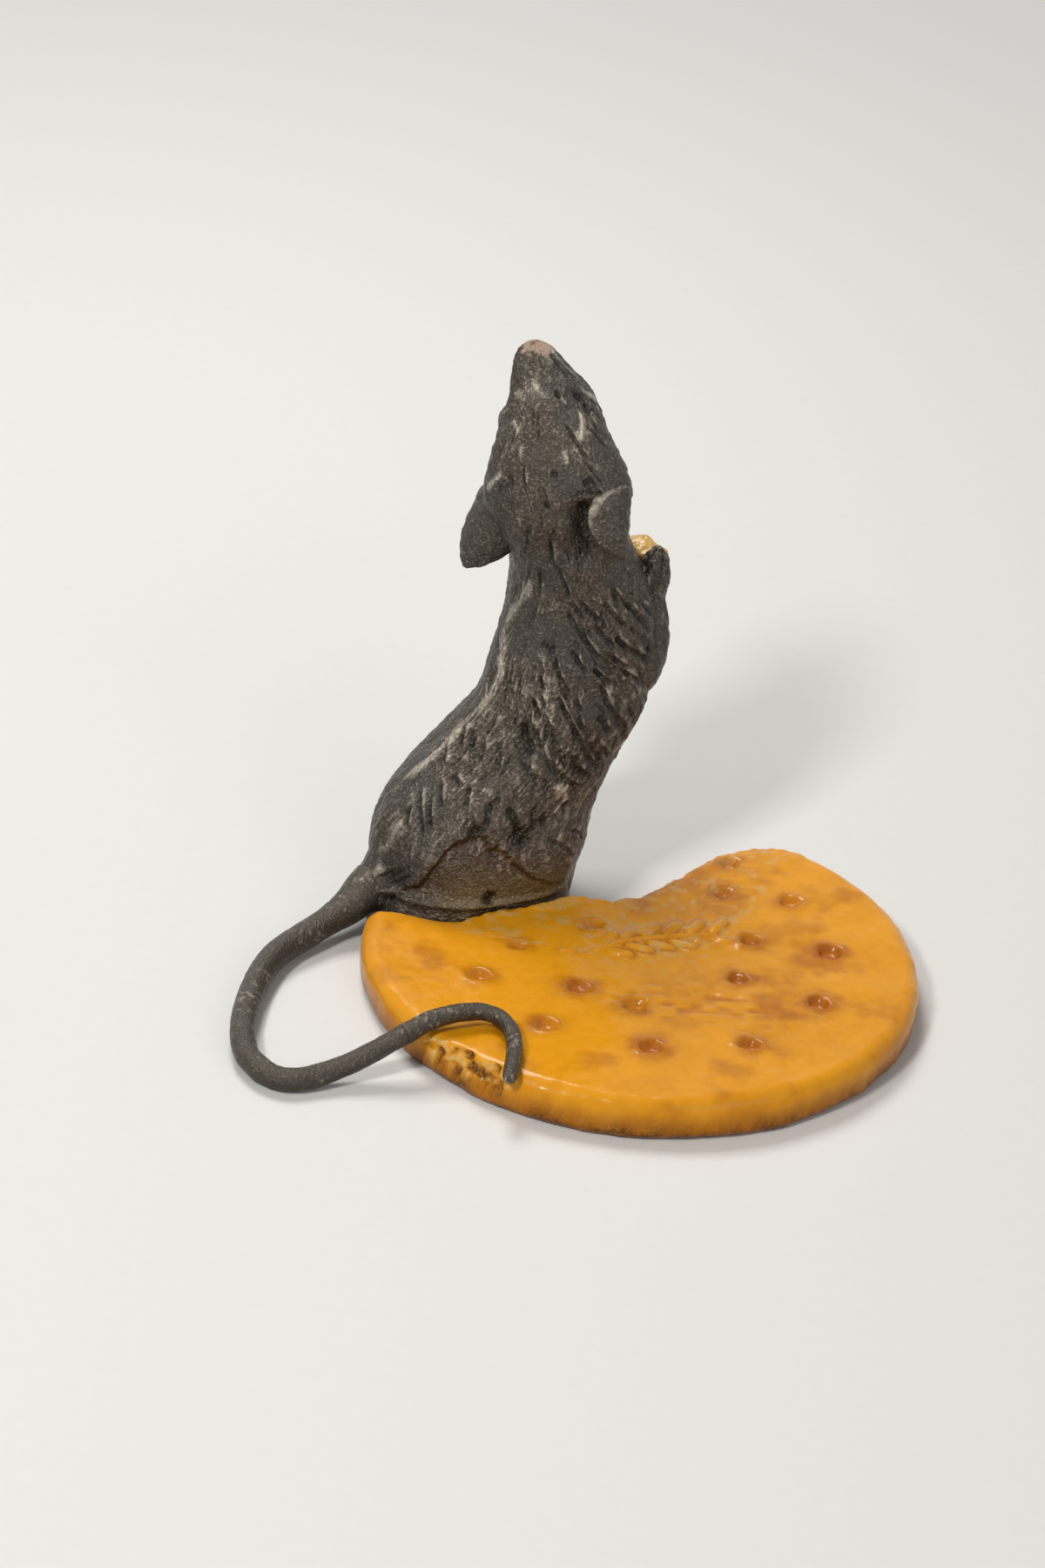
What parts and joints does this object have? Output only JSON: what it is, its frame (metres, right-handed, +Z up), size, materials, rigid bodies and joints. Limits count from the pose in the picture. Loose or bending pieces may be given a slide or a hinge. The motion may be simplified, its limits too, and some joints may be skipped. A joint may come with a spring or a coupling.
{
  "type": "mouse figurine",
  "caption": "Cold-painted cast metal mouse sitting up in the bitten side of a round tea biscuit, snout raised, a morsel in its forepaws and its tail looped over the rim.",
  "frame": {"origin": "middle of the biscuit's full circle on its flat underside, at table level", "axes": "+Z up from the table; +Y away from the viewer of the picture; +X to the viewer's right, so the tail loops out towards -X and -Y and the mouse sits at -X +Y"},
  "size_m": [0.0724, 0.0634, 0.061],
  "materials": {
    "biscuit": "semi-gloss yellow-orange cold paint with darker stains in the dimples",
    "near_dowel": "turned and soldered, bare",
    "far_dowel": "turned and soldered, bare",
    "body": "satin dark grey-brown cold paint over cast fur, worn on the ridges",
    "head": "satin dark grey-brown cold paint, tan at the nose",
    "left_ear": "satin dark grey-brown cold paint",
    "right_ear": "satin dark grey-brown cold paint, rim worn to the metal",
    "right_foreleg": "satin dark grey-brown cold paint",
    "left_foreleg": "satin dark grey-brown cold paint",
    "right_hind_foot": "satin dark grey-brown cold paint",
    "left_hind_foot": "satin dark grey-brown cold paint",
    "tail_rear": "satin dark grey cold paint, solder scar at the end",
    "tail_tip": "satin dark grey cold paint",
    "biscuit_morsel": "matt yellow cold paint"
  },
  "bodies": {
    "root": {"biscuit": "biscuit", "near_dowel": "near_dowel", "far_dowel": "far_dowel", "body": "body", "head": "head", "left_ear": "left_ear", "right_ear": "right_ear", "right_foreleg": "right_foreleg", "left_foreleg": "left_foreleg", "right_hind_foot": "right_hind_foot", "left_hind_foot": "left_hind_foot", "tail_rear": "tail_rear", "tail_tip": "tail_tip", "biscuit_morsel": "biscuit_morsel"}
  },
  "joints": []
}
